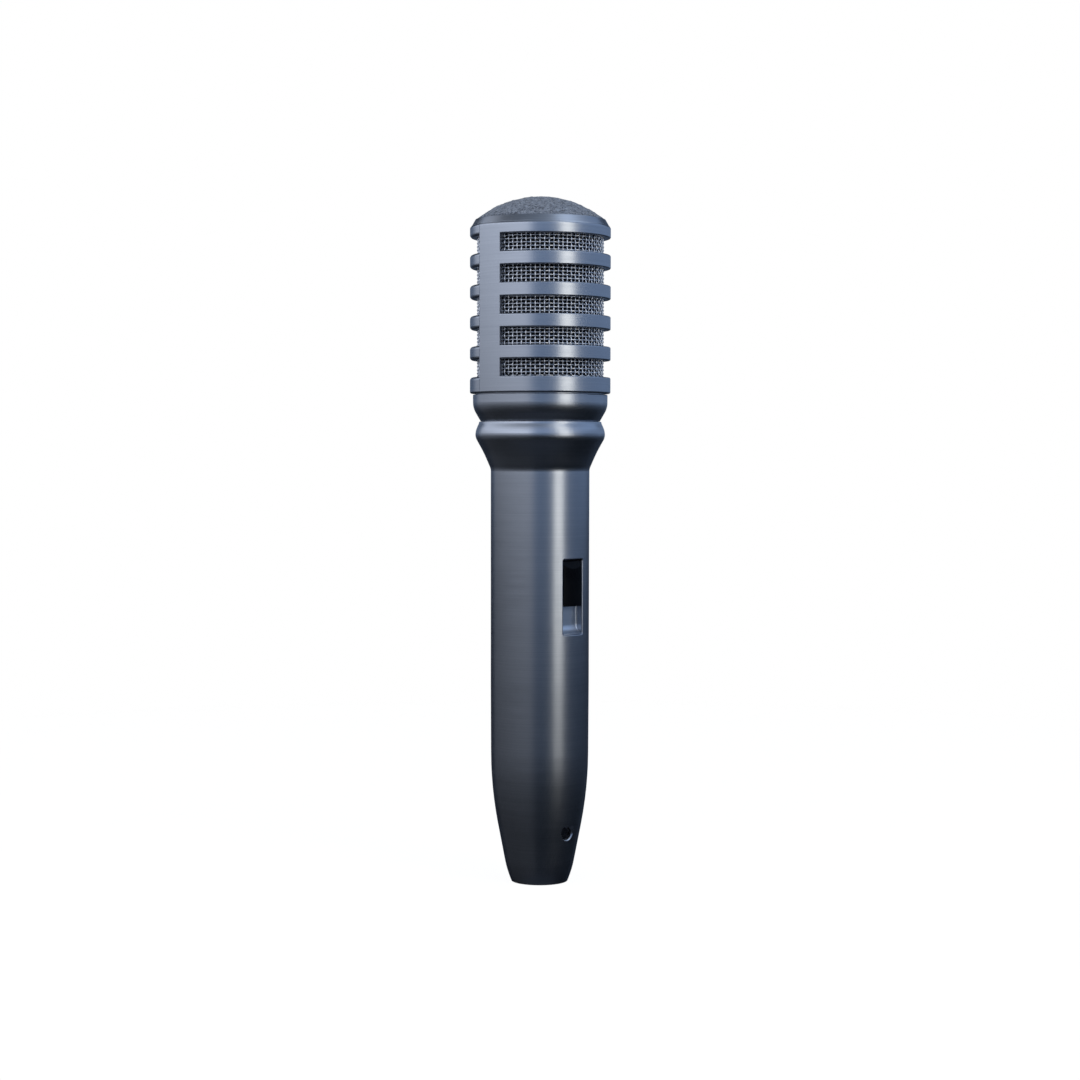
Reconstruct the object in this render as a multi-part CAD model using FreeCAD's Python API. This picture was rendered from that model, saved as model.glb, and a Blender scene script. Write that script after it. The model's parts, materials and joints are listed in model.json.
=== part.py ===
import FreeCAD, Part
import math
import os

from FreeCAD import Vector

# Hand-held dynamic microphone with an on/off slide switch, in millimetres.
# Z runs up the axis from the connector rim to the top of the head. The switch faces -Y, and the two
# posts of the grille stand at +X and -X.

# ---- driving dimensions ----
TOTAL_HEIGHT = 200.0

# connector end
RIM_R = 8.25  # outside of the rim, where the rounded tail ends
ROUND_R, ROUND_Z = 9.61, 3.4  # where the rounding of the tail starts from
ROUND_BEND = 31.0
INLET_R = 8.0  # bore that takes the nose of the cable connector
INLET_DEPTH = 16.0
INSULATOR_TOP = 23.2
PIN_R = 1.2
PIN_TIP = 3.0
PIN_TIP_BEND = 0.7
PIN_SHOULDER_Z = 15.8  # the contact is thinner from here on, through the insulator
PIN_STEM_R = 1.0
PIN_CIRCLE_R = 4.6
PIN_ANGLES = (188, 352, 90)  # contacts 1, 2 and 3, in degrees from +X
SCREW_HOLE_Z = 15.2
SCREW_HOLE_R = 1.95
SCREW_SEAT_Y = -9.7  # bottom of the counterbore
SCREW_HEAD_R = 1.75
SCREW_SHANK_R = 1.2
SINK_Y = -11.2  # where the broken edge of the screw hole starts
KEY_HALF_WIDTH = 1.6
KEY_INNER_R = 6.9
CUP_R = 0.7  # solder cup in the tail of a contact
CUP_TOP = INSULATOR_TOP + 4.3
CUP_DEPTH = 3.0
LEDGE_R, LEDGE_TOP = 7.2, 24.8  # ledge inside the handle over the insulator

# handle
TAPER_CORNER_R, TAPER_CORNER_Z = 14.23, 27.26  # where the straight taper meets the grip
TAPER_BEND = 115.0  # long arc that blends the two
GRIP_R = 14.42  # at the flare
CLIP_R = 14.38  # true cylinder that a stand clip holds
CLIP_LOW, CLIP_HIGH = 58.6, 72.8
FLARE_Z = 121.0
FLARE_BEND = 3.0
FLARE_MIDDLE_R, FLARE_MIDDLE_Z = 16.5, 125.75  # the flare steepens here
BEAD_R, BEAD_Z = 19.0, 130.3
SHOULDER_R, SHOULDER_Z = 18.8, 132.3  # above the bead
HOLLOW_R, HOLLOW_Z = 17.95, 134.15  # foot of the small rim at the top of the handle
NECK_R = 17.82  # top of the handle
BORE_R = 12.1
NECK_TOP = 134.75
NECK_SEAT_Z = 125.5
NECK_BORE_R = 15.0

# switch
SLOT_LOW, SLOT_HIGH = 73.3, 95.0
SLOT_HALF_WIDTH = 3.75
SLOT_RIM_BEND = 0.35
FLOOR_Y = -11.46  # floor of the switch recess
WELL_END_Z = 76.0  # the floor curves up from here to the lower end of the window
WELL_END_R = 2.4
WELL_FOOT_BEND = 0.4
SWITCH_TRAVEL = 5.0
BUTTON_LOW, BUTTON_HIGH = 81.5, 94.8
BUTTON_HALF_WIDTH = 3.5
BUTTON_R = 14.15
BUTTON_GAP = 0.24  # between the thumb slide and the floor
BUTTON_BEVEL = 2.5
STEM_LOW, STEM_HIGH = 87.1, 89.5
STEM_HALF_WIDTH = 1.0
GATE_HALF_WIDTH = 1.2  # opening that the stem runs in
GATE_LOW, GATE_HIGH = STEM_LOW - SWITCH_TRAVEL - 0.2, STEM_HIGH + 0.2
LUG_HEIGHTS = (81.3, 85.8, 90.3)
LUG_END_Y = -2.6
SWITCH_SCREW_HEIGHTS = (77.1, 94.5)

# head
HEAD_R = 20.47
HEAD_WALL_R = 18.65  # inside of the grille housing
HEAD_SEAT_Z = 190.6  # ledge inside the top of the housing
HEAD_LOW = 142.9
HEAD_SHOULDER_Z, HEAD_SHOULDER_BEND = 190.9, 0.8  # rounded corner under the bevel
WINDOW_LOW = 147.6  # sill of the lowest window row
WINDOW_HEIGHT = 4.9
WINDOW_PITCH = 8.865
WINDOW_ROWS = 5
POST_ANGLE = 24.1  # width of a post, in degrees
BAND_BEND = 0.4  # rounding of the edges of the bands
REAR_BAND_R = 20.52  # the rear bands stand a little proud and are rounder
REAR_BAND_BEND = 0.95
FOOT_BEND = 0.5
CREASE_R, CREASE_Z = 20.12, 191.4  # top edge of the housing
DOME_RIM_R, DOME_RIM_Z = 18.85, 193.35
DOME_BEND = 29.25  # radius of the foam dome
DOME_R = 18.7
FOAM_THICKNESS = 3.2
SCREEN_THICKNESS = 0.6
COLLAR_LOW = 134.85
COLLAR_TOP = 142.6
COLLAR_FOOT_R = 17.4
BOWL_R, BOWL_Z = 19.62, 138.72  # where the collar turns from its bowl to its straight rim
COLLAR_R = 19.64
SPIGOT_R = 16.4  # bore of the spigot that carries the grille
SPIGOT_FLOOR = 141.5
SEAL_GROOVE = (15.6, 17.0)  # radii of the groove for the seal
SEAL_GROOVE_DEPTH = 0.9
THREAD_R = 14.9
THREAD_BORE_R = 15.2
THREAD_PITCH = 1.0
MESH_R = 18.55
MESH_LOW, MESH_HIGH = 147.0, 190.3
MESH_THICKNESS = 0.7
LINER_TOP = 187.5

# capsule
CARRIER_TOP = 140.5
CHAMBER_LOW = 149.5
CAPSULE_LOW = 160.0
CAPSULE_TOP = 181.0
CAPSULE_R = 13.1
CAPSULE_BORE_R = 12.5
SHELF_Z = 174.2
PLATE_THICKNESS = 3.0
MAGNET_LOW = 165.5
COIL_IN_R, COIL_OUT_R = 6.25, 6.75
DIAPHRAGM_Z = 178.5
FILM = 0.25  # thickness of the diaphragm
COIL_LOW = 172.5
TERMINAL_X = 4.0

# transformer
CAN_R = 10.2
CAN_LOW, CAN_HIGH = 37.0, 63.0
CAN_WALL = 0.6
PAD_HEIGHT = 4.0

WIRE_R = 0.5

# clearances between pieces
PLAY = 0.05
SLIP = 0.02

TINY = 1e-6
FAR = 60.0  # longer than any cut has to reach


# ---- helpers ----
def rounded_wire(points, bends, closed):
    """Straight runs through the points, joined at each point by a tangent arc of its own radius."""
    turns = []
    for i, point in enumerate(points):
        loose_end = not closed and i in (0, len(points) - 1)
        if loose_end or bends[i] == 0:
            turns.append((point, None, point))
            continue
        back = (points[i - 1] - point).normalize()
        ahead = (points[(i + 1) % len(points)] - point).normalize()
        half = back.getAngle(ahead) / 2
        reach = bends[i] / math.tan(half)
        inward = (back + ahead).normalize()
        middle = point + inward * (bends[i] / math.sin(half) - bends[i])
        turns.append((point + back * reach, middle, point + ahead * reach))
    edges = []
    for i, (start, middle, end) in enumerate(turns):
        if middle is not None:
            edges.append(Part.Arc(start, middle, end).toShape())
        if not closed and i == len(turns) - 1:
            break
        onward = turns[(i + 1) % len(turns)][0]
        if end.distanceToPoint(onward) > TINY:
            edges.append(Part.LineSegment(end, onward).toShape())
    return Part.Wire(edges)


def turned(corners):
    """Solid of revolution about Z from (radius, height, bend) corners."""
    points = [Vector(radius, 0, height) for radius, height, _ in corners]
    outline = rounded_wire(points, [bend for _, _, bend in corners], closed=True)
    return Part.Face(outline).revolve(Vector(), Vector(0, 0, 1), 360)


def rod(radius, low, high, x=0.0, y=0.0):
    return Part.makeCylinder(radius, high - low, Vector(x, y, low))


def tube(inner, outer, low, high):
    return rod(outer, low, high).cut(rod(inner, low - 1, high + 1))


def cross_rod(radius, y_low, y_high, z, x=0.0):
    """Cylinder along +Y."""
    return Part.makeCylinder(radius, y_high - y_low, Vector(x, y_low, z), Vector(0, 1, 0))


def block(x_range, y_range, z_range):
    size = [span[1] - span[0] for span in (x_range, y_range, z_range)]
    return Part.makeBox(*size, Vector(x_range[0], y_range[0], z_range[0]))


def sector(inner, outer, low, high, start, sweep):
    """Part of a tube, from the start angle through sweep degrees."""
    wedge = Part.makeCylinder(outer, high - low, Vector(0, 0, low), Vector(0, 0, 1), sweep)
    wedge.rotate(Vector(), Vector(0, 0, 1), start)
    return wedge.cut(rod(inner, low - 1, high + 1))


def ring_of(count, radius, make):
    """One compound of the shapes that make(x, y) gives at even steps round a circle."""
    shapes = []
    for i in range(count):
        angle = 2 * math.pi * i / count
        shapes.append(make(radius * math.cos(angle), radius * math.sin(angle)))
    return Part.makeCompound(shapes)


def wire_along(points):
    """Round wire through the points, each corner an arc as wide as its two runs allow."""
    bends = [0.0]
    for before, here, after in zip(points, points[1:], points[2:]):
        shorter = min(here.distanceToPoint(before), after.distanceToPoint(here))
        turn = (here - before).getAngle(after - here)
        bends.append(0.45 * shorter / math.tan(turn / 2))
    bends.append(0.0)
    path = rounded_wire(points, bends, closed=False)
    section = Part.Wire(Part.makeCircle(WIRE_R, points[0], points[1] - points[0]))
    return path.makePipeShell([section], True, True)


def save(name, *shapes):
    """One STEP file of one sub-part; several shapes stay separate solids."""
    shape = shapes[0] if len(shapes) == 1 else Part.makeCompound(list(shapes))
    shape.exportStep(f"parts/{name}.step")


# ---- connector end ----
def pin_places():
    for angle in PIN_ANGLES:
        turn = math.radians(angle)
        yield PIN_CIRCLE_R * math.cos(turn), PIN_CIRCLE_R * math.sin(turn)


def insulator():
    """Disc that carries the contacts, with the key rib that the retaining screw bites into."""
    disc = rod(INLET_R - PLAY, INLET_DEPTH, INSULATOR_TOP)
    key = block((-KEY_HALF_WIDTH, KEY_HALF_WIDTH), (-INLET_R, -KEY_INNER_R), (PIN_TIP, INLET_DEPTH + 1))
    shape = disc.fuse(key.common(rod(INLET_R - PLAY, 0, INLET_DEPTH + 1)))
    for x, y in pin_places():
        shape = shape.cut(rod(PIN_STEM_R + SLIP, INLET_DEPTH - 1, INSULATOR_TOP + 1, x, y))
    return shape.cut(cross_rod(SCREW_SHANK_R + PLAY, -FAR, -KEY_INNER_R + 0.5, SCREW_HOLE_Z)).removeSplitter()


def contact_pin(x, y):
    """Round contact with a domed tip, and a solder cup on its tail."""
    pin = turned(
        [
            (0, PIN_TIP, 0),
            (PIN_R, PIN_TIP, PIN_TIP_BEND),
            (PIN_R, PIN_SHOULDER_Z, 0),
            (PIN_STEM_R, PIN_SHOULDER_Z, 0),
            (PIN_STEM_R, CUP_TOP, 0),
            (CUP_R, CUP_TOP, 0),
            (CUP_R, CUP_TOP - CUP_DEPTH, 0),
            (0, CUP_TOP - CUP_DEPTH, 0),
        ]
    )
    pin.translate(Vector(x, y, 0))
    return pin


def ground_tag():
    """Spring tag under contact 1 that touches the bore of the handle."""
    low = INSULATOR_TOP + PLAY
    tag = sector(3.0, LEDGE_R - 0.1, low, low + 0.4, PIN_ANGLES[0] - 25, 50)
    lip = sector(6.8, LEDGE_R - 0.1, low, low + 1.4, PIN_ANGLES[0] - 12, 24)
    x, y = next(pin_places())
    return tag.fuse(lip).cut(rod(PIN_R, low - 1, low + 3, x, y)).removeSplitter()


def connector_screw():
    """Cheese-head screw, sunk in the wall, with its slot facing outwards."""
    head_y = SCREW_SEAT_Y - 1.2
    head = cross_rod(SCREW_HEAD_R, head_y, SCREW_SEAT_Y, SCREW_HOLE_Z)
    shank = cross_rod(SCREW_SHANK_R, SCREW_SEAT_Y, -KEY_INNER_R - 0.1, SCREW_HOLE_Z)
    slot = block((-2, 2), (head_y - 1, head_y + 0.6), (SCREW_HOLE_Z - 0.25, SCREW_HOLE_Z + 0.25))
    return head.fuse(shank).cut(slot).removeSplitter()


# ---- handle ----
def handle_shell():
    shell = turned(
        [
            (INLET_R, 0, 0.08),
            (RIM_R, 0, 0.08),
            (ROUND_R, ROUND_Z, ROUND_BEND),
            (TAPER_CORNER_R, TAPER_CORNER_Z, TAPER_BEND),
            (CLIP_R, CLIP_LOW, 0),
            (CLIP_R, CLIP_HIGH, 0),
            (GRIP_R, FLARE_Z, FLARE_BEND),
            (FLARE_MIDDLE_R, FLARE_MIDDLE_Z, 30.0),
            (BEAD_R, BEAD_Z, 3.5),
            (SHOULDER_R, SHOULDER_Z, 6.0),
            (HOLLOW_R, HOLLOW_Z, 1.2),
            (NECK_R, NECK_TOP, 0.15),
            (NECK_BORE_R, NECK_TOP, 0),
            (NECK_BORE_R, NECK_SEAT_Z, 0),
            (BORE_R, NECK_SEAT_Z, 0),
            (BORE_R, 36, 4),
            (10.2, 26, 0),
            (10.2, LEDGE_TOP, 0),
            (LEDGE_R, LEDGE_TOP, 0),
            (LEDGE_R, INSULATOR_TOP, 0),
            (INLET_R, INSULATOR_TOP, 0),
        ]
    )
    shell = shell.cut(switch_slot())
    shell = shell.cut(cross_rod(SCREW_HOLE_R, -FAR, SCREW_SEAT_Y, SCREW_HOLE_Z))
    shell = shell.cut(countersink())
    shell = shell.cut(cross_rod(SCREW_SHANK_R + PLAY, -FAR, 0, SCREW_HOLE_Z))
    return shell.makeFillet(SLOT_RIM_BEND, slot_rim_edges(shell))


def countersink():
    """Cone that breaks the edge of the screw hole."""
    depth = 1.0
    start = Vector(0, SINK_Y, SCREW_HOLE_Z)
    return Part.makeCone(SCREW_HOLE_R, SCREW_HOLE_R + depth, depth, start, Vector(0, -1, 0))


def switch_slot():
    """Window for the switch, with small corner radii."""
    window = block((-SLOT_HALF_WIDTH, SLOT_HALF_WIDTH), (-FAR, -BORE_R + 1.5), (SLOT_LOW, SLOT_HIGH))
    corners = [edge for edge in window.Edges if abs(edge.tangentAt(edge.FirstParameter).y) > 0.9]
    return window.makeFillet(0.4, corners)


def slot_rim_edges(shell):
    """Edges of the switch window that lie on the outside of the grip."""
    rim = []
    for edge in shell.Edges:
        middle = edge.CenterOfMass
        near = SLOT_LOW - 0.1 < middle.z < SLOT_HIGH + 0.1 and abs(middle.x) < SLOT_HALF_WIDTH + 0.1
        outside = all(math.hypot(v.X, v.Y) > CLIP_R - 0.01 for v in edge.Vertexes)
        if near and outside and middle.y < -GRIP_R + 1:
            rim.append(edge)
    return rim


# ---- switch ----
def thumb_well():
    """Hollow of the recess: flat floor, curved lower end, and a small round along the foot of its sides."""
    end_centre = Vector(-SLOT_HALF_WIDTH, FLOOR_Y - WELL_END_R, WELL_END_Z)
    end_low = end_centre + Vector(0, 0, -WELL_END_R)
    middle = end_centre + Vector(0, WELL_END_R * math.sin(math.pi / 4), -WELL_END_R * math.sin(math.pi / 4))
    foot = end_centre + Vector(0, WELL_END_R, 0)
    top = Vector(-SLOT_HALF_WIDTH, FLOOR_Y, SLOT_HIGH)
    outer_top = Vector(-SLOT_HALF_WIDTH, -FAR, SLOT_HIGH)
    outer_low = Vector(-SLOT_HALF_WIDTH, -FAR, end_low.z)
    edges = [Part.Arc(end_low, middle, foot).toShape()]
    for start, end in ((foot, top), (top, outer_top), (outer_top, outer_low), (outer_low, end_low)):
        edges.append(Part.LineSegment(start, end).toShape())
    well = Part.Face(Part.Wire(edges)).extrude(Vector(2 * SLOT_HALF_WIDTH, 0, 0))
    sides = []
    for edge in well.Edges:
        middle = edge.CenterOfMass
        at_side = abs(abs(middle.x) - SLOT_HALF_WIDTH) < TINY
        at_foot = middle.y > FLOOR_Y - WELL_END_R and middle.z < SLOT_HIGH - TINY
        if at_side and at_foot:
            sides.append(edge)
    return well.makeFillet(WELL_FOOT_BEND, sides)


def switch_plate():
    """Floor of the recess, curved at the back to suit the bore, with a scooped lower end."""
    plate = block((-7, 7), (-BORE_R, -9.9), (69, 99)).common(rod(BORE_R - PLAY, 69, 99))
    half = SLOT_HALF_WIDTH - 0.06
    scoop = block((-half, half), (-GRIP_R, FLOOR_Y + 0.5), (SLOT_LOW + 0.06, WELL_END_Z))
    plate = plate.fuse(scoop.common(rod(GRIP_R - 0.08, 70, 80)))
    plate = plate.cut(thumb_well())
    gate = block((-GATE_HALF_WIDTH, GATE_HALF_WIDTH), (-FAR, 0), (GATE_LOW, GATE_HIGH))
    plate = plate.cut(gate)
    for z in SWITCH_SCREW_HEIGHTS:
        plate = plate.cut(cross_rod(0.75, -10.9, 0, z))
    return plate.removeSplitter()


def switch_button():
    """Thumb slide with a bevelled upper end, and the stem that reaches through the floor."""
    low_y = FLOOR_Y - BUTTON_GAP
    half = BUTTON_HALF_WIDTH
    body = block((-half, half), (-GRIP_R, low_y), (BUTTON_LOW, BUTTON_HIGH)).common(rod(BUTTON_R, 0, 100))
    bevel = Part.makePolygon(
        [
            Vector(-half - 1, -GRIP_R - 1, BUTTON_HIGH - BUTTON_BEVEL),
            Vector(-half - 1, -BUTTON_R, BUTTON_HIGH - BUTTON_BEVEL),
            Vector(-half - 1, -BUTTON_R + 1.0, BUTTON_HIGH + 0.1),
            Vector(-half - 1, -GRIP_R - 1, BUTTON_HIGH + 0.1),
            Vector(-half - 1, -GRIP_R - 1, BUTTON_HIGH - BUTTON_BEVEL),
        ]
    )
    body = body.cut(Part.Face(bevel).extrude(Vector(2 * half + 2, 0, 0)))
    stem = block((-STEM_HALF_WIDTH, STEM_HALF_WIDTH), (low_y - 0.5, -7.6), (STEM_LOW, STEM_HIGH))
    return body.fuse(stem).removeSplitter()


def switch_housing():
    """Moulded case of the slide switch, screwed to the back of the plate by its two ears."""
    case = block((-3.6, 3.6), (-9.8, -4.8), (78.6, 93.0))
    ears = block((-2.2, 2.2), (-9.8, -8.6), (75.6, 96.0))
    cavity = block((-2.6, 2.6), (-9.0, -5.6), (80.0, 91.6))
    gate = block((-GATE_HALF_WIDTH, GATE_HALF_WIDTH), (-FAR, -7), (GATE_LOW, GATE_HIGH))
    case = case.fuse(ears).cut(cavity).cut(gate)
    for z in LUG_HEIGHTS:
        case = case.cut(block((-1.25, 1.25), (-7, 0), (z - 0.45, z + 0.45)))
    for z in SWITCH_SCREW_HEIGHTS:
        case = case.cut(cross_rod(0.75, -10, 0, z))
    return case.removeSplitter()


def switch_slider():
    """Carrier inside the switch that the stem pushes along."""
    slider = block((-2.3, 2.3), (-8.8, -7.05), (85.3, 91.3))
    socket = block(
        (-STEM_HALF_WIDTH - SLIP, STEM_HALF_WIDTH + SLIP), (-9, -7.55), (STEM_LOW - SLIP, STEM_HIGH + SLIP)
    )
    return slider.cut(socket)


def contact_bridge():
    """Spring contact under the slider."""
    blade = block((-1.8, 1.8), (-7.03, -6.73), (85.9, 90.7))
    bumps = [cross_rod(0.5, -6.75, -6.6, z) for z in (86.6, 90.0)]
    return blade.fuse(bumps).removeSplitter()


def switch_lugs():
    return [block((-1.2, 1.2), (-6.2, LUG_END_Y), (z - 0.4, z + 0.4)) for z in LUG_HEIGHTS]


def switch_screws():
    screws = []
    for z in SWITCH_SCREW_HEIGHTS:
        head = cross_rod(1.3, -8.58, -7.7, z)
        shank = cross_rod(0.7, -10.8, -8.58, z)
        slot = block((-2, 2), (-8.1, -7), (z - 0.2, z + 0.2))
        screws.append(head.fuse(shank).cut(slot).removeSplitter())
    return screws


# ---- transformer ----
def transformer_can():
    can = rod(CAN_R, CAN_LOW, CAN_HIGH)
    return can.cut(rod(CAN_R - CAN_WALL, CAN_LOW + CAN_WALL, CAN_HIGH - CAN_WALL))


def transformer_core():
    """Stack of laminations with two winding windows."""
    core = block((-7, 7), (-4.5, 4.5), (40, 60))
    for side in (-1, 1):
        core = core.cut(block(sorted((2 * side, 5 * side)), (-5, 5), (43.5, 56.5)))
    return core


def transformer_bobbin():
    tube_wall = block((-2.5, 2.5), (-5, 5), (43.6, 56.4))
    cheeks = [block((-4.8, 4.8), (-7.4, 7.4), (z, z + 0.5)) for z in (43.6, 55.9)]
    leg = block((-2.05, 2.05), (-4.55, 4.55), (40, 60))
    return tube_wall.fuse(cheeks).cut(leg).removeSplitter()


def transformer_winding():
    coil = block((-4.7, 4.7), (-7.2, 7.2), (44.15, 55.85))
    hole = block((-2.55, 2.55), (-5.05, 5.05), (43, 57))
    return coil.cut(hole)


def transformer_pads():
    return [tube(CAN_R + SLIP, BORE_R - PLAY, z, z + PAD_HEIGHT) for z in (40, 56)]


# ---- neck and head ----
def capsule_carrier():
    """Ring pressed into the neck; the head screws onto its upper half."""
    corners = [(11.5, NECK_SEAT_Z, 0), (NECK_BORE_R - 0.05, NECK_SEAT_Z, 0)]
    corners += [(NECK_BORE_R - 0.05, NECK_TOP - 0.5, 0), (THREAD_R, NECK_TOP - 0.5, 0)]
    corners += thread_teeth(THREAD_R, -0.5, 135.4, 4)
    corners += [(THREAD_R, CARRIER_TOP, 0.3), (8, CARRIER_TOP, 0), (8, 139, 0), (11.5, 139, 1)]
    return turned(corners)


def thread_teeth(radius, depth, low, count):
    """Corners of V grooves, one pitch apart, going up."""
    corners = []
    for i in range(count):
        z = low + i * THREAD_PITCH
        corners += [(radius, z, 0), (radius + depth, z + 0.35, 0), (radius, z + 0.7, 0)]
    return corners


def neck_collar():
    """Bowl-shaped base of the head, with the internal thread and a spigot for the grille."""
    groove_top = COLLAR_LOW + SEAL_GROOVE_DEPTH
    groove_in, groove_out = SEAL_GROOVE
    spigot_top = MESH_LOW - 0.1
    corners = [(COLLAR_FOOT_R, COLLAR_LOW, 0.15), (BOWL_R, BOWL_Z, 6.0), (COLLAR_R, COLLAR_TOP, 0.2)]
    corners += [(HEAD_WALL_R - PLAY, COLLAR_TOP, 0), (HEAD_WALL_R - PLAY, spigot_top, 0)]
    corners += [(SPIGOT_R, spigot_top, 0), (SPIGOT_R, SPIGOT_FLOOR, 0), (THREAD_BORE_R, SPIGOT_FLOOR, 0)]
    corners += reversed(thread_teeth(THREAD_BORE_R, 0.5, 136.4, 4))
    corners += [(THREAD_BORE_R, COLLAR_LOW, 0), (groove_in, COLLAR_LOW, 0), (groove_in, groove_top, 0)]
    corners += [(groove_out, groove_top, 0), (groove_out, COLLAR_LOW, 0)]
    return turned(corners)


def neck_seal():
    """Rubber ring in the groove of the collar."""
    inner, outer = SEAL_GROOVE[0] + 0.25, SEAL_GROOVE[1] - 0.25
    low, high = NECK_TOP + 0.1, COLLAR_LOW + SEAL_GROOVE_DEPTH - 0.1
    bend = 0.25
    return turned([(inner, low, bend), (outer, low, bend), (outer, high, bend), (inner, high, bend)])


def band(low, high, outer, bend):
    """One plain ring of the grille housing; the lowest one has its own rounding at the foot."""
    low_bend = FOOT_BEND if low == HEAD_LOW else bend
    inner = HEAD_WALL_R
    return turned([(inner, low, 0), (outer, low, low_bend), (outer, high, bend), (inner, high, 0)])


def top_band(low, outer, bend):
    """Top ring of the grille housing, with its rounded shoulder and the seat of the retaining ring."""
    return turned(
        [
            (HEAD_WALL_R, low, 0),
            (outer, low, bend),
            (outer, HEAD_SHOULDER_Z, HEAD_SHOULDER_BEND),
            (CREASE_R, CREASE_Z, 0),
            (CREASE_R - 0.04, HEAD_SEAT_Z, 0),
            (HEAD_WALL_R, HEAD_SEAT_Z, 0),
        ]
    )


def grille_housing():
    """Six rings joined by two posts, which leaves five rows of wide windows front and back."""
    sills = [WINDOW_LOW + i * WINDOW_PITCH for i in range(WINDOW_ROWS)]
    lintels = [sill + WINDOW_HEIGHT for sill in sills]
    lows = [HEAD_LOW] + lintels[:-1]
    front = sector(0, FAR, 0, TOTAL_HEIGHT, 180 - POST_ANGLE / 2, 180 + POST_ANGLE)
    rear = sector(0, FAR, 0, TOTAL_HEIGHT, POST_ANGLE / 2, 180 - POST_ANGLE)
    rings = []
    for side, outer, bend in ((front, HEAD_R, BAND_BEND), (rear, REAR_BAND_R, REAR_BAND_BEND)):
        rings += [band(low, sill, outer, bend).common(side) for low, sill in zip(lows, sills)]
        rings.append(top_band(lintels[-1], outer, bend).common(side))
    posts = []
    for middle in (0, 180):
        start = middle - POST_ANGLE / 2
        posts.append(sector(HEAD_WALL_R, HEAD_R, HEAD_LOW + 0.5, lintels[-1] + 1, start, POST_ANGLE))
    return rings[0].fuse(rings[1:] + posts)


def side_mesh():
    return tube(MESH_R - MESH_THICKNESS, MESH_R, MESH_LOW, MESH_HIGH)


def foam_liner():
    return tube(SPIGOT_R, MESH_R - MESH_THICKNESS - 0.1, MESH_LOW, LINER_TOP)


def top_ring():
    """Bevelled ring that clamps the foam dome."""
    outer = CREASE_R - 0.1
    return turned(
        [
            (DOME_R + PLAY, HEAD_SEAT_Z + SLIP, 0),
            (outer, HEAD_SEAT_Z + SLIP, 0),
            (outer, CREASE_Z + 0.05, 0.1),
            (DOME_RIM_R + 0.1, DOME_RIM_Z, 0.2),
            (DOME_R + PLAY, DOME_RIM_Z, 0),
        ]
    )


def dome_shell(bend, thickness, edge_r):
    """Cap of a spherical shell about the dome's centre, above the foam's seat and within edge_r."""
    centre = Vector(0, 0, TOTAL_HEIGHT - DOME_BEND)
    cap = Part.makeSphere(bend, centre).common(rod(edge_r, HEAD_SEAT_Z + 0.1, TOTAL_HEIGHT + 1))
    return cap.cut(Part.makeSphere(bend - thickness, centre))


def dome_foam():
    return dome_shell(DOME_BEND, FOAM_THICKNESS, DOME_R)


def dome_screen():
    """Perforated cap that backs the foam, with a rim held under its edge."""
    screen = dome_shell(DOME_BEND - FOAM_THICKNESS - 0.1, SCREEN_THICKNESS, SPIGOT_R)
    screen = screen.fuse(tube(15.9, MESH_R, HEAD_SEAT_Z - 0.25, HEAD_SEAT_Z + 0.08))
    for count, radius in ((1, 0), (6, 4.5), (12, 9), (18, 13.2)):
        screen = screen.cut(ring_of(count, radius, lambda x, y: rod(1.3, HEAD_SEAT_Z, TOTAL_HEIGHT, x, y)))
    return screen.removeSplitter()


# ---- capsule ----
def shock_mount():
    """Rubber bellows ring between the carrier and the capsule."""
    return turned(
        [
            (8.6, CARRIER_TOP, 0.3),
            (13.6, CARRIER_TOP, 0.8),
            (13.6, 143.4, 0.8),
            (11.4, 145, 0.8),
            (13.6, 146.6, 0.8),
            (13.6, CHAMBER_LOW, 0.8),
            (8.6, CHAMBER_LOW, 0.3),
            (8.6, 146.8, 0.6),
            (9.6, 145, 0.6),
            (8.6, 143.2, 0.6),
        ]
    )


def rear_chamber():
    """Closed acoustic cup under the capsule."""
    cup = rod(CAPSULE_R, CHAMBER_LOW, CAPSULE_LOW)
    cup = cup.cut(rod(CAPSULE_BORE_R - 0.3, CHAMBER_LOW + 1, CAPSULE_LOW + 1))
    for side in (-1, 1):
        cup = cup.cut(rod(0.65, CHAMBER_LOW - 1, CHAMBER_LOW + 2, TERMINAL_X * side))
    return cup


def capsule_terminals():
    return [rod(0.6, 146.6, CHAMBER_LOW + 2.5, TERMINAL_X * side) for side in (-1, 1)]


def capsule_housing():
    """Basket with a vented shelf that carries the magnet."""
    top = CAPSULE_TOP
    basket = tube(CAPSULE_BORE_R, CAPSULE_R, CAPSULE_LOW, top)
    shelf = tube(9.65, CAPSULE_BORE_R + 0.2, SHELF_Z, SHELF_Z + 1.8)
    shape = basket.fuse(shelf)
    vents = ring_of(8, 11.1, lambda x, y: rod(0.9, SHELF_Z - 1, SHELF_Z + 3, x, y))
    return shape.cut(vents).removeSplitter()


def magnet_cup():
    cup = rod(9.6, MAGNET_LOW - 2, SHELF_Z)
    return cup.cut(rod(8.0, MAGNET_LOW, SHELF_Z + 1))


def front_plate():
    return tube(7.15, 9.6, SHELF_Z, SHELF_Z + PLATE_THICKNESS)


def magnet():
    return rod(5.5, MAGNET_LOW, SHELF_Z)


def pole_piece():
    top = SHELF_Z + PLATE_THICKNESS
    return turned([(0, SHELF_Z, 0), (5.85, SHELF_Z, 0), (5.85, top, 0.3), (0, top, 0)])


def damping_felt():
    return tube(9.8, CAPSULE_BORE_R - 0.1, SHELF_Z + 1.8, SHELF_Z + 2.5)


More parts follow.
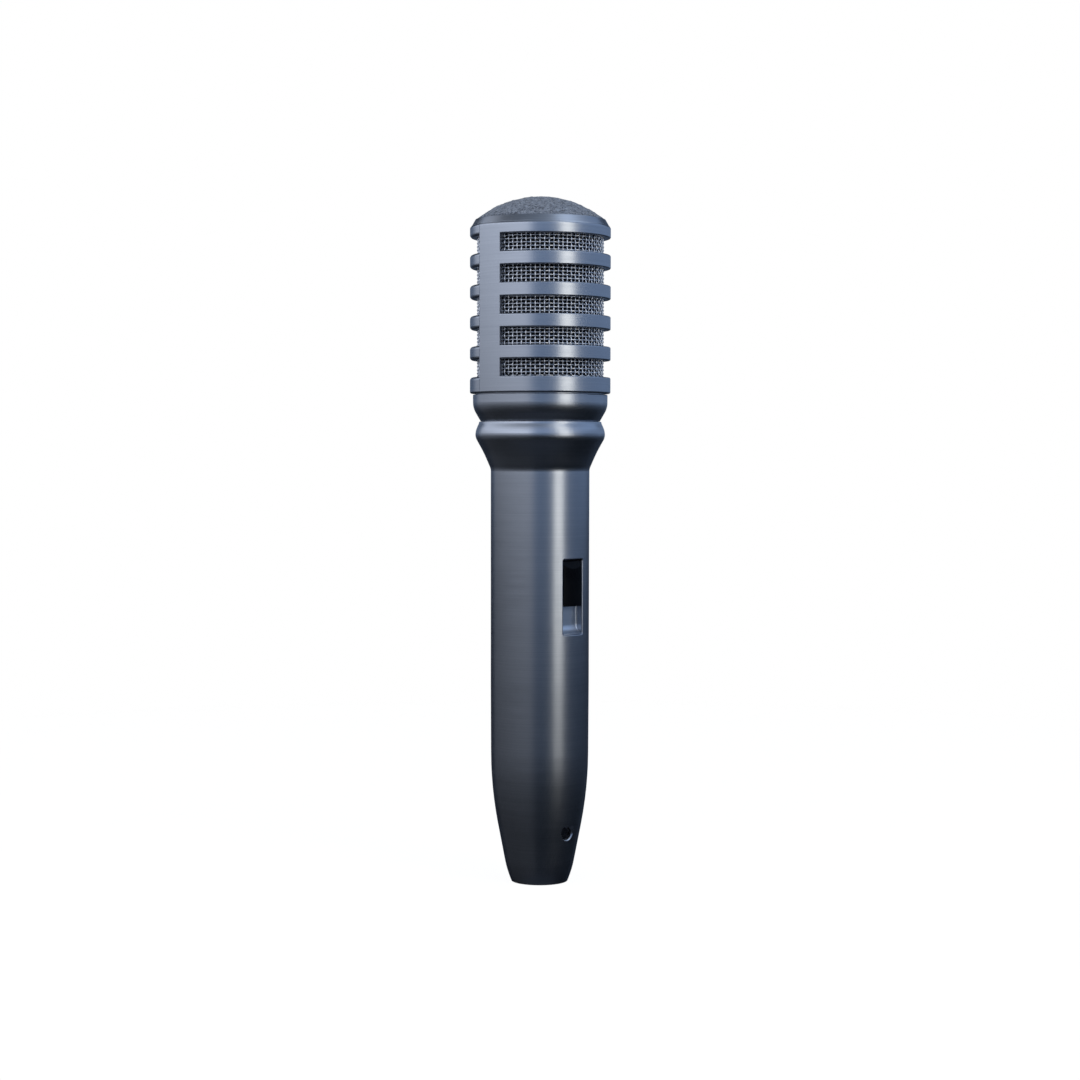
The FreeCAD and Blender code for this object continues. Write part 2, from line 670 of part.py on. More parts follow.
def diaphragm():
    """Thin dome with a rolled surround."""
    low, high = DIAPHRAGM_Z, DIAPHRAGM_Z + FILM
    dome = Part.makeSphere(11.0, Vector(0, 0, low - 9.0))
    dome = dome.cut(Part.makeSphere(11.0 - FILM, Vector(0, 0, low - 9.0)))
    dome = dome.common(rod(6.4, low, low + 5))
    flat = tube(6.2, 12.2, low, high)
    roll = Part.makeTorus(9.4, 1.4, Vector(0, 0, low)).cut(Part.makeTorus(9.4, 1.4 - FILM, Vector(0, 0, low)))
    roll = roll.common(rod(13, low, low + 3))
    flat = flat.cut(tube(8.2, 10.6, low - 1, high + 1))
    return flat.fuse([roll, dome]).removeSplitter()


def voice_coil():
    return tube(COIL_IN_R, COIL_OUT_R, COIL_LOW, DIAPHRAGM_Z)


def resonator_cap():
    """Perforated cover over the diaphragm."""
    cap = turned(
        [
            (0, CAPSULE_TOP + 0.5, 0),
            (CAPSULE_R - 0.8, CAPSULE_TOP + 0.5, 0),
            (CAPSULE_R - 0.8, CAPSULE_TOP, 0),
            (CAPSULE_R + 0.3, CAPSULE_TOP, 0),
            (CAPSULE_R + 0.3, CAPSULE_TOP + 2, 0.6),
            (0, CAPSULE_TOP + 2, 0),
        ]
    )
    for count, radius in ((1, 0), (6, 4.4), (12, 9)):
        cap = cap.cut(ring_of(count, radius, lambda x, y: rod(1.1, CAPSULE_TOP - 1, CAPSULE_TOP + 3, x, y)))
    return cap


# ---- wiring ----
def capsule_leads():
    """Two wires from the capsule down to the upper switch lugs."""
    leads = []
    for side, lug in ((-1, LUG_HEIGHTS[2]), (1, LUG_HEIGHTS[1])):
        points = [
            Vector(TERMINAL_X * side, 0, 146.5),
            Vector(TERMINAL_X * side, 0, 128),
            Vector(0.6 * side, 4, lug + 16),
            Vector(0.6 * side, 5, lug),
            Vector(0.6 * side, LUG_END_Y + SLIP, lug),
        ]
        leads.append(wire_along(points))
    return leads


def transformer_leads():
    """Two wires from the lower switch lugs down to the lid of the transformer can."""
    leads = []
    for side, lug in ((-1, LUG_HEIGHTS[1]), (1, LUG_HEIGHTS[0])):
        points = [
            Vector(0.6 * side, LUG_END_Y + SLIP, lug),
            Vector(0.6 * side, 1, lug),
            Vector(3 * side, 1, CAN_HIGH + 9),
            Vector(3 * side, 1, CAN_HIGH + SLIP),
        ]
        leads.append(wire_along(points))
    return leads


def output_leads():
    """Three wires from the transformer can down to the solder cups of the contacts."""
    leads = []
    for x, y in pin_places():
        points = [
            Vector(0.6 * x, 0.6 * y, CAN_LOW - SLIP),
            Vector(0.6 * x, 0.6 * y, CAN_LOW - 3.2),
            Vector(x, y, CAN_LOW - 6),
            Vector(x, y, CUP_TOP + SLIP),
        ]
        leads.append(wire_along(points))
    return leads


def main():
    os.makedirs("parts", exist_ok=True)
    save("handle_shell", handle_shell())
    save("connector_insulator", insulator())
    for number, (x, y) in enumerate(pin_places(), start=1):
        save(f"contact_pin_{number}", contact_pin(x, y))
    save("ground_tag", ground_tag())
    save("connector_screw", connector_screw())
    save("transformer_can", transformer_can())
    save("transformer_core", transformer_core())
    save("transformer_bobbin", transformer_bobbin())
    save("transformer_winding", transformer_winding())
    save("transformer_pads", *transformer_pads())
    save("switch_plate", switch_plate())
    save("switch_button", switch_button())
    save("switch_housing", switch_housing())
    save("switch_slider", switch_slider())
    save("contact_bridge", contact_bridge())
    save("switch_lugs", *switch_lugs())
    save("switch_screws", *switch_screws())
    save("capsule_carrier", capsule_carrier())
    save("neck_collar", neck_collar())
    save("neck_seal", neck_seal())
    save("grille_housing", grille_housing())
    save("side_mesh", side_mesh())
    save("foam_liner", foam_liner())
    save("top_ring", top_ring())
    save("dome_foam", dome_foam())
    save("dome_screen", dome_screen())
    save("shock_mount", shock_mount())
    save("rear_chamber", rear_chamber())
    save("capsule_terminals", *capsule_terminals())
    save("capsule_housing", capsule_housing())
    save("magnet_cup", magnet_cup())
    save("front_plate", front_plate())
    save("magnet", magnet())
    save("pole_piece", pole_piece())
    save("damping_felt", damping_felt())
    save("diaphragm", diaphragm())
    save("voice_coil", voice_coil())
    save("resonator_cap", resonator_cap())
    save("capsule_leads", *capsule_leads())
    save("transformer_leads", *transformer_leads())
    save("output_leads", *output_leads())


main()
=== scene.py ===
import json
import math

import bpy
from mathutils import Matrix, Vector, noise


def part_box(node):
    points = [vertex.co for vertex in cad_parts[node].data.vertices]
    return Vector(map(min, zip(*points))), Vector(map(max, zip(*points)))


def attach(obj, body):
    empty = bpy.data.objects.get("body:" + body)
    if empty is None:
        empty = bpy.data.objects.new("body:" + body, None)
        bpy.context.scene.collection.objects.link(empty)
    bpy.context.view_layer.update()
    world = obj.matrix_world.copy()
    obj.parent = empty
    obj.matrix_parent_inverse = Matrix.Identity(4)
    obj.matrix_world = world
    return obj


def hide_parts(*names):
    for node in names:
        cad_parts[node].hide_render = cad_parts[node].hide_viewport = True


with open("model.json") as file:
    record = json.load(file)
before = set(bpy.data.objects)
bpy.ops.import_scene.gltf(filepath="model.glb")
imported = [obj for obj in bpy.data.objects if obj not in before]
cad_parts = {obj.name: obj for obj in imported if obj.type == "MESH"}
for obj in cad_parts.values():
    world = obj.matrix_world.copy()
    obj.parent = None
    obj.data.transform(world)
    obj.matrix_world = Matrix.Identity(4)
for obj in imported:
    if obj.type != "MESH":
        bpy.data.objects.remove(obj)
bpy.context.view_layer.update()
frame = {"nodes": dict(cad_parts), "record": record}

# Hand-held dynamic microphone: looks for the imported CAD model. All lengths are in metres.
# Z runs up the axis, the switch faces -Y and the posts of the grille stand at +X and -X.

MM = 0.001
AXIS_Z = Vector((0, 0, 1))
NOISE_LOW, NOISE_HIGH = 0.3, 0.7  # nearly all of a noise lies between these

# camera
VIEW_AZIMUTH = math.radians(-43.5)
VIEW_DISTANCE = 0.658
VIEW_HEIGHT = 0.1273
AIM_HEIGHT = 0.1002
VIEW_ROLL = math.radians(0.1)
LENS = 75.0
SENSOR_WIDTH = 36.0
NEAREST_SEEN = 0.01

# woven side mesh
MESH_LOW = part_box("side_mesh")[0].z
MESH_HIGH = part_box("side_mesh")[1].z
MESH_OUTER_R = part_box("side_mesh")[1].x
UPRIGHT_WIRES = 86
HOOP_PITCH = 1.02 * MM
WIRE_R = 0.205 * MM
WIRE_SIDES = 6

# foam: a skin is a list of noises, each with its scale (waves a metre) and its height
FOAM_SMOOTH_ANGLE = 60  # degrees
DOME_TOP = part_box("dome_foam")[1].z
DOME_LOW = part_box("dome_foam")[0].z
DOME_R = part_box("dome_foam")[1].x
DOME_BEND = 29.25 * MM
DOME_SKIN = [(420.0, 0.17 * MM), (1300.0, 0.13 * MM)]
DOME_RINGS = 64
DOME_SPOKES = 256
DOME_RIM_R = DOME_R - 0.15 * MM
DOME_FOOT_R = DOME_R - 0.2 * MM
DOME_BASE_R = DOME_R - 2.0 * MM

LINER_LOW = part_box("foam_liner")[0].z
LINER_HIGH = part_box("foam_liner")[1].z
LINER_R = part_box("foam_liner")[1].x
LINER_THICKNESS = 1.3 * MM
LINER_SKIN = [(900.0, 0.10 * MM), (2200.0, 0.05 * MM)]
LINER_SKIN_DEPTH = 0.15 * MM
LINER_ROWS = 90
LINER_SPOKES = 220

# light tent: linear colours of its panels, and their sizes
SURROUND = (0.245, 0.345, 0.53)
LEFT_WALL = (0.585, 0.635, 0.735)
KEY = (2.15, 2.15, 2.07)
CEILING = (0.30, 0.36, 0.46)
TENT_FOOT = -0.6
TENT_TOP = 0.8
TENT_R = 0.62
LEFT_WALL_R = 0.58
KEY_R = 0.56
KEY_FOOT = -0.2
PANEL_STEP = 3  # degrees
CEILING_SIDES = 48

# brightness of each panel at heights in metres; the ceiling's runs from the camera's left to its right
SURROUND_LEVELS = [
    (-0.45, 0.025), (-0.15, 0.035), (-0.06, 0.095), (-0.034, 0.12), (0.011, 0.16), (0.05, 0.28),
    (0.087, 0.45), (0.11, 0.90), (0.16, 1.0), (0.30, 1.0), (0.38, 1.6), (0.5, 1.4), (0.8, 0.8),
]
BACK_LEVELS = [
    (-0.45, 0.02), (0.0, 0.12), (0.06, 0.17), (0.085, 0.25), (0.105, 0.42), (0.15, 0.85),
    (0.2, 1.0), (0.3, 0.8), (0.38, 0.12), (0.8, 0.08),
]
LEFT_WALL_LEVELS = [
    (-0.30, 0.040), (-0.09, 0.085), (-0.053, 0.14), (-0.034, 0.18), (0.011, 0.19), (0.054, 0.23),
    (0.087, 0.22), (0.108, 0.42), (0.15, 0.86), (0.19, 0.94), (0.227, 1.2), (0.245, 1.34),
    (0.29, 1.7), (0.42, 1.7), (0.55, 1.1), (0.8, 0.6),
]
KEY_LEVELS = [(-0.08, 0.03), (-0.03, 0.12), (0.01, 0.45), (0.06, 0.9), (0.12, 1.0), (0.5, 1.0)]
CEILING_LEVELS = [
    (-0.6, 0.12), (-0.3, 0.4), (0.0, 0.75), (0.18, 0.95), (0.3, 3.0), (0.42, 3.3), (0.6, 1.0),
]

# floor and world
FLOOR_R = 0.6
FLOOR_SIDES = 96
FLOOR_Z = -0.05 * MM
FLOOR_FADE_START = 0.05
FLOOR_FADE_END = 0.8 * FLOOR_R
DARK_BLUE = (0.03, 0.037, 0.052, 1)
WHITE = (1, 1, 1, 1)


# ---- mesh helpers ----
def polar(radius, angle, z):
    return Vector((radius * math.cos(angle), radius * math.sin(angle), z))


def circle(radius, z, count):
    """Evenly spaced points round the axis."""
    return [polar(radius, 2 * math.pi * k / count, z) for k in range(count)]


def band(first, second, count, flip=False):
    """Faces between two rings of points, each given by the index of its first point."""
    faces = []
    for k in range(count):
        n = (k + 1) % count
        if flip:
            faces.append((first + k, first + n, second + n, second + k))
        else:
            faces.append((first + k, second + k, second + n, first + n))
    return faces


def fan(count):
    """Faces between point 0 and the ring that starts at point 1."""
    return [(0, 1 + k, 1 + (k + 1) % count) for k in range(count)]


def new_object(name, verts, faces, material, smooth_angle=None):
    """Smooth mesh object; edges sharper than smooth_angle, in degrees, stay hard."""
    mesh = bpy.data.meshes.new(name)
    mesh.from_pydata(verts, [], faces)
    mesh.update()
    obj = bpy.data.objects.new(name, mesh)
    bpy.context.scene.collection.objects.link(obj)
    mesh.materials.append(material)
    mesh.shade_smooth()
    if smooth_angle is not None:
        mesh.set_sharp_from_angle(angle=math.radians(smooth_angle))
    return obj


# ---- node helpers ----
def empty_tree(owner):
    """The node tree of a material or world, with nothing in it."""
    owner.use_nodes = True
    owner.node_tree.nodes.clear()
    return owner.node_tree


def node_material(name):
    """A new material with its tree and its principled shader."""
    material = bpy.data.materials.new(name)
    material.use_nodes = True
    tree = material.node_tree
    return material, tree, tree.nodes["Principled BSDF"]


def add_node(tree, kind, **settings):
    node = tree.nodes.new(kind)
    for key, value in settings.items():
        setattr(node, key, value)
    return node


def link(tree, source, target):
    tree.links.new(source, target)


def object_position(tree, scale=(1, 1, 1)):
    """Object position scaled on each axis; uneven scales make a noise on it run in streaks."""
    place = add_node(tree, "ShaderNodeTexCoord")
    mapping = add_node(tree, "ShaderNodeMapping")
    mapping.inputs["Scale"].default_value = scale
    link(tree, place.outputs["Object"], mapping.inputs["Vector"])
    return mapping.outputs["Vector"]


def noise_on(tree, vector, scale, detail, roughness=0.5):
    texture = add_node(tree, "ShaderNodeTexNoise")
    texture.inputs["Scale"].default_value = scale
    texture.inputs["Detail"].default_value = detail
    texture.inputs["Roughness"].default_value = roughness
    link(tree, vector, texture.inputs["Vector"])
    return texture.outputs["Fac"]


def ramp(tree, source, stops):
    node = add_node(tree, "ShaderNodeValToRGB")
    elements = node.color_ramp.elements
    while len(elements) < len(stops):
        elements.new(0.5)
    for element, (place, color) in zip(elements, stops):
        element.position = place
        element.color = (*color, 1.0)
    link(tree, source, node.inputs["Fac"])
    return node.outputs["Color"]


def remap(tree, source, low, high, from_low=0.0, from_high=1.0):
    node = add_node(tree, "ShaderNodeMapRange")
    node.inputs["From Min"].default_value = from_low
    node.inputs["From Max"].default_value = from_high
    node.inputs["To Min"].default_value = low
    node.inputs["To Max"].default_value = high
    link(tree, source, node.inputs["Value"])
    return node.outputs["Result"]


def color_by(tree, shader, source, dark, light, low=NOISE_LOW, high=NOISE_HIGH):
    """Base colour that runs from dark to light as the source runs from low to high."""
    link(tree, ramp(tree, source, [(low, dark), (high, light)]), shader.inputs["Base Color"])


def roughness_by(tree, shader, source, least, most):
    link(tree, remap(tree, source, least, most, NOISE_LOW, NOISE_HIGH), shader.inputs["Roughness"])


def bump(tree, shader, height, distance, strength):
    node = add_node(tree, "ShaderNodeBump")
    node.inputs["Strength"].default_value = strength
    node.inputs["Distance"].default_value = distance
    link(tree, height, node.inputs["Height"])
    link(tree, node.outputs["Normal"], shader.inputs["Normal"])


# ---- materials ----
def brushed_metal(name, dark, light, rough, spread, groove):
    """Anodised metal with very fine lathe lines round the axis."""
    material, tree, shader = node_material(name)
    lines = noise_on(tree, object_position(tree, (30, 30, 6500)), 1.0, 3.0, 0.6)
    broad = noise_on(tree, object_position(tree, (90, 90, 900)), 1.0, 2.0)
    color_by(tree, shader, lines, dark, light)
    roughness_by(tree, shader, broad, rough - spread, rough + spread)
    bump(tree, shader, lines, groove, 0.5)
    shader.inputs["Metallic"].default_value = 1.0
    return material


def plain_metal(name, dark, light, rough, scale=900.0):
    """Bare metal with a faint cloudy finish."""
    material, tree, shader = node_material(name)
    cloud = noise_on(tree, object_position(tree), scale, 4.0)
    color_by(tree, shader, cloud, dark, light)
    roughness_by(tree, shader, cloud, rough * 0.8, rough * 1.25)
    bump(tree, shader, cloud, 0.01 * MM, 0.4)
    shader.inputs["Metallic"].default_value = 1.0
    return material


def moulded_plastic(name, dark, light, rough, shine=0.5):
    """Moulded plastic or rubber with a fine grain."""
    material, tree, shader = node_material(name)
    place = object_position(tree)
    grain = noise_on(tree, place, 2500.0, 3.0)
    smear = noise_on(tree, place, 180.0, 2.0)
    color_by(tree, shader, smear, dark, light)
    roughness_by(tree, shader, smear, rough * 0.7, rough * 1.3)
    bump(tree, shader, grain, 0.01 * MM, 0.3)
    shader.inputs["Specular IOR Level"].default_value = shine
    return material


def open_cell_foam(name, dark, light, cell):
    """Matt foam, dark in its pores; cell is the size of a pore."""
    material, tree, shader = node_material(name)
    place = object_position(tree)
    pores = add_node(tree, "ShaderNodeTexVoronoi", feature="F1")
    pores.inputs["Scale"].default_value = 1 / cell
    link(tree, place, pores.inputs["Vector"])
    cloud = noise_on(tree, place, 0.35 / cell, 4.0, 0.65)
    mixed = add_node(tree, "ShaderNodeMath", operation="MULTIPLY_ADD")
    link(tree, pores.outputs["Distance"], mixed.inputs[0])
    mixed.inputs[1].default_value = -0.5
    link(tree, cloud, mixed.inputs[2])
    color_by(tree, shader, mixed.outputs[0], dark, light, 0.05, 0.5)
    bump(tree, shader, mixed.outputs[0], 0.25 * MM, 0.9)
    shader.inputs["Roughness"].default_value = 0.92
    shader.inputs["Sheen Weight"].default_value = 0.25
    shader.inputs["Sheen Roughness"].default_value = 0.5
    return material


def make_materials():
    """One material for each slot of the record."""
    return {
        "body_metal": brushed_metal(
            "gunmetal", (0.37, 0.39, 0.43), (0.43, 0.45, 0.49), 0.31, 0.02, 0.003 * MM
        ),
        "mesh_wire": plain_metal("mesh_wire", (0.50, 0.51, 0.54), (0.78, 0.79, 0.82), 0.32, 700.0),
        "grey_foam": open_cell_foam("grey_foam", (0.075, 0.082, 0.10), (0.36, 0.385, 0.43), 0.5 * MM),
        "dark_foam": open_cell_foam("dark_foam", (0.002, 0.002, 0.003), (0.014, 0.015, 0.018), 0.6 * MM),
        "gloss_black": moulded_plastic(
            "gloss_black", (0.001, 0.001, 0.002), (0.003, 0.003, 0.004), 0.3, shine=0.08
        ),
        "black_plastic": moulded_plastic("black_plastic", (0.010, 0.010, 0.011), (0.02, 0.02, 0.022), 0.5),
        "white_plastic": moulded_plastic("natural_nylon", (0.55, 0.53, 0.47), (0.66, 0.64, 0.58), 0.45),
        "plated_contact": plain_metal("plated_contact", (0.55, 0.54, 0.50), (0.78, 0.77, 0.73), 0.22),
        "brass": plain_metal("brass", (0.56, 0.40, 0.17), (0.74, 0.56, 0.28), 0.3),
        "copper": plain_metal("copper", (0.50, 0.20, 0.09), (0.72, 0.34, 0.18), 0.35, 3000.0),
        "steel": plain_metal("steel", (0.38, 0.38, 0.39), (0.56, 0.56, 0.57), 0.32),
        "dark_steel": plain_metal("dark_steel", (0.03, 0.03, 0.034), (0.08, 0.08, 0.09), 0.35),
        "lamination_steel": plain_metal("laminations", (0.16, 0.17, 0.19), (0.32, 0.33, 0.36), 0.4),
        "capsule_metal": plain_metal("capsule_metal", (0.45, 0.46, 0.48), (0.62, 0.63, 0.65), 0.3),
        "magnet_alloy": plain_metal("magnet_alloy", (0.12, 0.12, 0.13), (0.24, 0.24, 0.26), 0.4),
        "rubber": moulded_plastic("rubber", (0.012, 0.012, 0.012), (0.024, 0.024, 0.025), 0.7),
        "felt": open_cell_foam("felt", (0.2, 0.19, 0.18), (0.42, 0.4, 0.38), 0.3 * MM),
        "clear_film": moulded_plastic("diaphragm_film", (0.45, 0.48, 0.5), (0.6, 0.63, 0.66), 0.15),
        "red_insulation": moulded_plastic("wire_insulation", (0.28, 0.02, 0.02), (0.38, 0.035, 0.03), 0.4),
    }


def dress_cad_nodes(materials):
    """Gives every CAD node the detailed material of its record slot; the switch plate gets a paler copy of
    the gunmetal, a painted highlight standing in for the light on the recess floor.
    """
    # painted light: the same gunmetal as the body, made paler so the recess floor looks lit
    recess = brushed_metal(
        "recess_gunmetal_painted_light", (0.55, 0.60, 0.68), (0.62, 0.67, 0.75), 0.38, 0.03, 0.002 * MM
    )
    for part in frame["record"]["subparts"]:
        mesh = frame["nodes"][part["node"]].data
        mesh.materials.clear()
        mesh.materials.append(recess if part["node"] == "switch_plate" else materials[part["material_slot"]])


# ---- woven mesh ----
def wire(path, closed, verts, faces):
    """Adds a round wire along the path to verts and faces."""
    first = len(verts)
    count = len(path)
    for i, point in enumerate(path):
        if closed:
            ahead = path[(i + 1) % count] - path[i - 1]
        else:
            ahead = path[min(i + 1, count - 1)] - path[max(i - 1, 0)]
        ahead.normalize()
        outward = Vector((point.x, point.y, 0)).normalized()
        side = ahead.cross(outward).normalized()
        up = side.cross(ahead)
        for k in range(WIRE_SIDES):
            angle = 2 * math.pi * k / WIRE_SIDES
            verts.append(point + side * (WIRE_R * math.cos(angle)) + up * (WIRE_R * math.sin(angle)))
    for i in range(count if closed else count - 1):
        near = first + i * WIRE_SIDES
        far = first + ((i + 1) % count) * WIRE_SIDES
        faces += band(near, far, WIRE_SIDES, flip=True)
    if not closed:
        last = first + (count - 1) * WIRE_SIDES
        faces.append(tuple(first + k for k in range(WIRE_SIDES)))
        faces.append(tuple(last + k for k in reversed(range(WIRE_SIDES))))


def woven_mesh(material):
    """Plain weave: hoops and uprights pass over and under each other by one wire radius."""
    hoops = int((MESH_HIGH - MESH_LOW) / HOOP_PITCH)
    first_z = MESH_LOW + (MESH_HIGH - MESH_LOW - (hoops - 1) * HOOP_PITCH) / 2
    middle_r = MESH_OUTER_R - 2 * WIRE_R
    verts, faces = [], []
    for h in range(hoops):
        path = []
        for i in range(2 * UPRIGHT_WIRES):
            lift = WIRE_R * math.cos(math.pi * (i / 2 + h))
            path.append(polar(middle_r + lift, math.pi * i / UPRIGHT_WIRES, first_z + h * HOOP_PITCH))
        wire(path, True, verts, faces)
    for u in range(UPRIGHT_WIRES):
        angle = 2 * math.pi * u / UPRIGHT_WIRES
        path = []
        for i in range(2 * hoops - 1):
            lift = -WIRE_R * math.cos(math.pi * (i / 2 + u))
            path.append(polar(middle_r + lift, angle, first_z + i * HOOP_PITCH / 2))
        wire(path, False, verts, faces)
    obj = new_object("woven_mesh", verts, faces, material)
    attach(obj, "head")
    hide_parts("side_mesh")


# ---- foam ----
def skin_height(point, skin):
    """Unevenness of a foam skin at a point, in metres."""
    return sum(height * noise.noise(point * scale) for scale, height in skin)


def foam_dome(material):
    """Closed cap with an uneven skin, standing on the edge that the top ring clamps."""
    centre = Vector((0, 0, DOME_TOP - DOME_BEND))
    edge = math.asin(DOME_RIM_R / DOME_BEND)
    verts = [centre + AXIS_Z * DOME_BEND]
    for i in range(1, DOME_RINGS + 1):
        tilt = edge * i / DOME_RINGS
        for out in circle(math.sin(tilt), math.cos(tilt), DOME_SPOKES):
            point = centre + out * DOME_BEND
            verts.append(point + out * skin_height(point, DOME_SKIN))
    rim = len(verts) - DOME_SPOKES
    foot = len(verts)
    base = foot + DOME_SPOKES
    verts += circle(DOME_FOOT_R, DOME_LOW, DOME_SPOKES)
    verts += circle(DOME_BASE_R, DOME_LOW, DOME_SPOKES)
    faces = fan(DOME_SPOKES)
    for first in range(1, rim, DOME_SPOKES):
        faces += band(first, first + DOME_SPOKES, DOME_SPOKES)
    faces += band(rim, foot, DOME_SPOKES)
    faces += band(foot, base, DOME_SPOKES)
    faces.append(tuple(base + k for k in reversed(range(DOME_SPOKES))))
    obj = new_object("foam_dome", verts, faces, material, FOAM_SMOOTH_ANGLE)
    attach(obj, "head")
    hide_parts("dome_foam")


def foam_sleeve(material):
    """Sleeve of foam behind the mesh, with an uneven skin on both faces."""
    verts, faces = [], []
    for radius, outward in ((LINER_R, 1), (LINER_R - LINER_THICKNESS, -1)):
        for i in range(LINER_ROWS + 1):
            z = LINER_LOW + (LINER_HIGH - LINER_LOW) * i / LINER_ROWS
            for out in circle(1.0, 0.0, LINER_SPOKES):
                point = out * radius + AXIS_Z * z
                dip = skin_height(point, LINER_SKIN) - LINER_SKIN_DEPTH
                verts.append(point + out * (outward * dip))
    top = LINER_ROWS * LINER_SPOKES
    inner = top + LINER_SPOKES
    for low in range(0, top, LINER_SPOKES):
        high = low + LINER_SPOKES
        faces += band(low, high, LINER_SPOKES, flip=True)
        faces += band(inner + low, inner + high, LINER_SPOKES)
    faces += band(top, inner + top, LINER_SPOKES, flip=True)
    faces += band(0, inner, LINER_SPOKES)
    obj = new_object("foam_sleeve", verts, faces, material, FOAM_SMOOTH_ANGLE)
    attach(obj, "head")
    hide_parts("foam_liner")


# ---- studio ----
def make_camera():
    data = bpy.data.cameras.new("camera")
    data.lens = LENS
    data.sensor_width = SENSOR_WIDTH
    data.clip_start = NEAREST_SEEN
    obj = bpy.data.objects.new("camera", data)
    bpy.context.scene.collection.objects.link(obj)
    obj.location = (
        math.sin(VIEW_AZIMUTH) * VIEW_DISTANCE,
        -math.cos(VIEW_AZIMUTH) * VIEW_DISTANCE,
        VIEW_HEIGHT,
    )
    aim = Vector((0, 0, AIM_HEIGHT)) - obj.location
    turn = aim.to_track_quat("-Z", "Y").to_matrix().to_4x4() @ Matrix.Rotation(VIEW_ROLL, 4, "Z")
    obj.rotation_euler = turn.to_euler()
    bpy.context.scene.camera = obj


def direction(degrees):
    """Horizontal direction, in degrees to the right of the camera as seen from the microphone."""
    angle = math.radians(degrees) + math.atan2(-math.cos(VIEW_AZIMUTH), math.sin(VIEW_AZIMUTH))
    return Vector((math.cos(angle), math.sin(angle), 0))


def glow_material(name, axis, low, high, color, levels, sides=(1.0, 1.0)):
    """Emission whose brightness follows one object axis; levels are (place on the axis, brightness).

    The brightness also runs from sides[0] to sides[1] with the mesh attribute "side".
    """
    material = bpy.data.materials.new(name)
    tree = empty_tree(material)
    split = add_node(tree, "ShaderNodeSeparateXYZ")
    link(tree, object_position(tree), split.inputs["Vector"])
    place = remap(tree, split.outputs[axis], 0.0, 1.0, low, high)
    peak = max(color) * max(level for _, level in levels)
    stops = []
    for spot, level in levels:
        stops.append(((spot - low) / (high - low), tuple(level * channel / peak for channel in color)))
    across = add_node(tree, "ShaderNodeAttribute", attribute_name="side")
    strength = remap(tree, across.outputs["Fac"], peak * sides[0], peak * sides[1])
    glow = add_node(tree, "ShaderNodeEmission")
    link(tree, strength, glow.inputs["Strength"])
    link(tree, ramp(tree, place, stops), glow.inputs["Color"])
    out = add_node(tree, "ShaderNodeOutputMaterial")
    link(tree, glow.outputs["Emission"], out.inputs["Surface"])
    return material


def stage_light(panel):
    panel.visible_camera = False
    panel.visible_shadow = False


def light_panel(name, start, end, radius, low, high, color, levels, sides=(1.0, 1.0)):
    """Curved glowing panel round the microphone, from one direction to another, in degrees."""
    steps = max(2, int(abs(end - start) / PANEL_STEP))
    verts, faces = [], []
    for i in range(steps + 1):
        out = direction(start + (end - start) * i / steps) * radius
        verts.append(out + AXIS_Z * low)
        verts.append(out + AXIS_Z * high)
    for a in range(0, 2 * steps, 2):
        faces.append((a, a + 2, a + 3, a + 1))
    panel = new_object(name, verts, faces, glow_material(name, "Z", low, high, color, levels, sides))
    side = panel.data.attributes.new("side", "FLOAT", "POINT")
    for i in range(len(verts)):
        side.data[i].value = (i // 2) / steps
    stage_light(panel)


def make_ceiling():
    """Round panel overhead, with its X axis to the camera's right."""
    glow = glow_material("ceiling", "X", -TENT_R, TENT_R, CEILING, CEILING_LEVELS)
    verts = [Vector((0, 0, 0))] + circle(TENT_R, 0, CEILING_SIDES)
    faces = [face[::-1] for face in fan(CEILING_SIDES)]
    panel = new_object("ceiling", verts, faces, glow)
    right = direction(90)
    panel.location = (0, 0, TENT_TOP)
    panel.rotation_euler = (0, 0, math.atan2(right.y, right.x))
    stage_light(panel)


def make_lights():
    light_panel("surround", -135, 135, TENT_R, TENT_FOOT, TENT_TOP, SURROUND, SURROUND_LEVELS)
    light_panel("surround_back", 135, 225, TENT_R, TENT_FOOT, TENT_TOP, SURROUND, BACK_LEVELS, (1.0, 0.4))
    light_panel(
        "left_wall", -132, -15, LEFT_WALL_R, TENT_FOOT, TENT_TOP, LEFT_WALL, LEFT_WALL_LEVELS, (0.92, 1.4)
    )
    light_panel("key_strip", 32.5, 55, KEY_R, KEY_FOOT, TENT_TOP, KEY, KEY_LEVELS)
    make_ceiling()


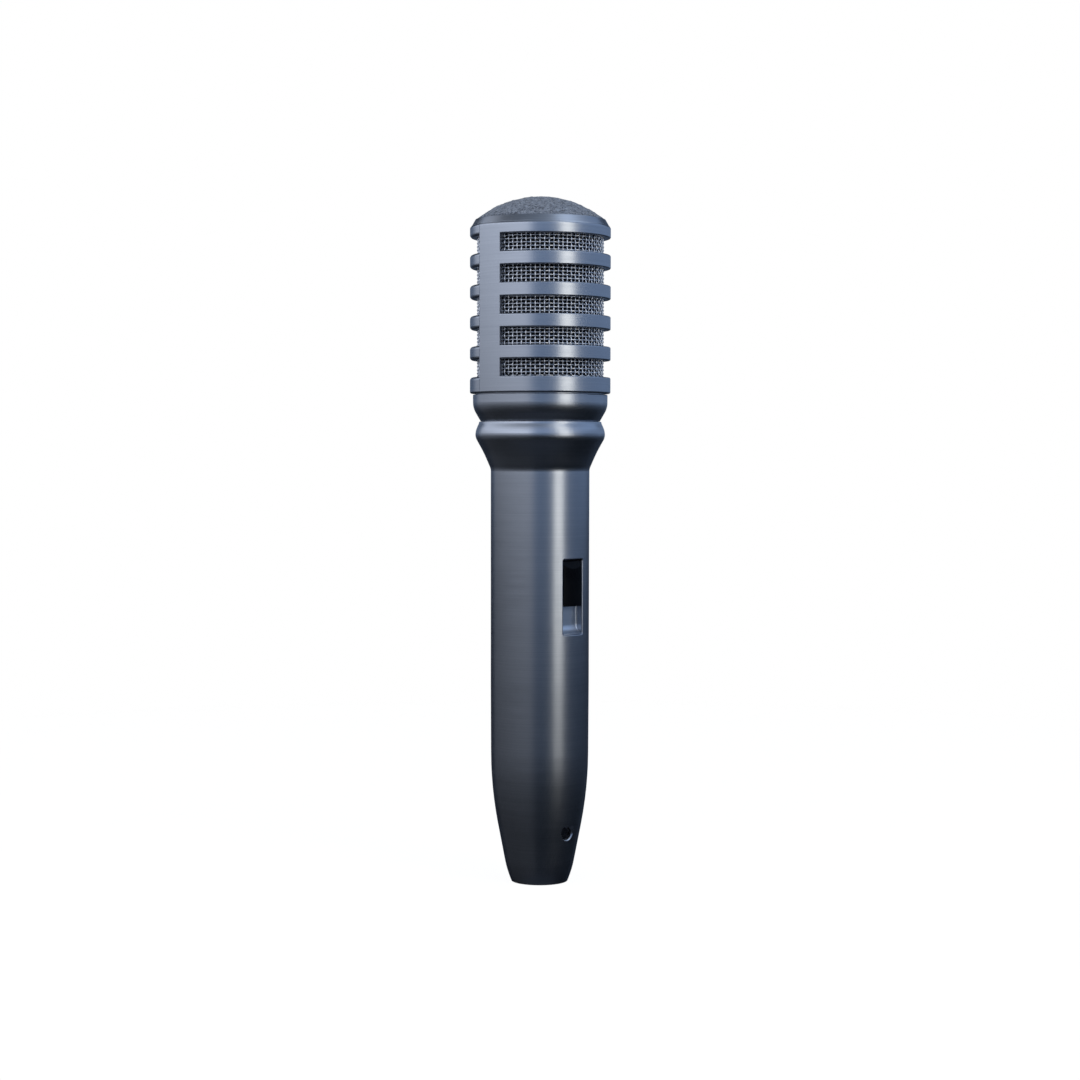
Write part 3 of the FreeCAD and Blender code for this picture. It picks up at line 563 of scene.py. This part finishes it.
def make_world():
    """White to the camera, dark blue to everything else."""
    world = bpy.data.worlds.new("studio")
    bpy.context.scene.world = world
    tree = empty_tree(world)
    around = add_node(tree, "ShaderNodeBackground")
    around.inputs["Color"].default_value = DARK_BLUE
    backdrop = add_node(tree, "ShaderNodeBackground")
    backdrop.inputs["Color"].default_value = WHITE
    path = add_node(tree, "ShaderNodeLightPath")
    mix = add_node(tree, "ShaderNodeMixShader")
    out = add_node(tree, "ShaderNodeOutputWorld")
    link(tree, path.outputs["Is Camera Ray"], mix.inputs["Fac"])
    link(tree, around.outputs["Background"], mix.inputs[1])
    link(tree, backdrop.outputs["Background"], mix.inputs[2])
    link(tree, mix.outputs["Shader"], out.inputs["Surface"])


def floor_material():
    """Pale surface that fades out into the backdrop and is clear from below."""
    material, tree, shader = node_material("pale_floor")
    place = object_position(tree)
    length = add_node(tree, "ShaderNodeVectorMath", operation="LENGTH")
    link(tree, place, length.inputs[0])
    fade = remap(tree, length.outputs["Value"], 1.0, 0.0, FLOOR_FADE_START, FLOOR_FADE_END)
    geometry = add_node(tree, "ShaderNodeNewGeometry")
    from_above = add_node(tree, "ShaderNodeMath", operation="SUBTRACT", use_clamp=True)
    link(tree, fade, from_above.inputs[0])
    link(tree, geometry.outputs["Backfacing"], from_above.inputs[1])
    link(tree, from_above.outputs[0], shader.inputs["Alpha"])
    cloud = noise_on(tree, place, 60.0, 3.0)
    color_by(tree, shader, cloud, (0.115, 0.112, 0.105), (0.125, 0.122, 0.115))
    shader.inputs["Roughness"].default_value = 0.9
    shader.inputs["Specular IOR Level"].default_value = 0.1
    shader.inputs["Emission Color"].default_value = WHITE
    shader.inputs["Emission Strength"].default_value = 0.95
    return material


def make_floor():
    verts = [Vector((0, 0, FLOOR_Z))] + circle(FLOOR_R, FLOOR_Z, FLOOR_SIDES)
    floor = new_object("floor", verts, fan(FLOOR_SIDES), floor_material())
    floor.visible_glossy = False
    floor.visible_diffuse = False


make_camera()
make_world()
make_lights()
make_floor()
materials = make_materials()
dress_cad_nodes(materials)
woven_mesh(materials["mesh_wire"])
foam_dome(materials["grey_foam"])
foam_sleeve(materials["dark_foam"])
bpy.context.scene.view_settings.view_transform = "Standard"
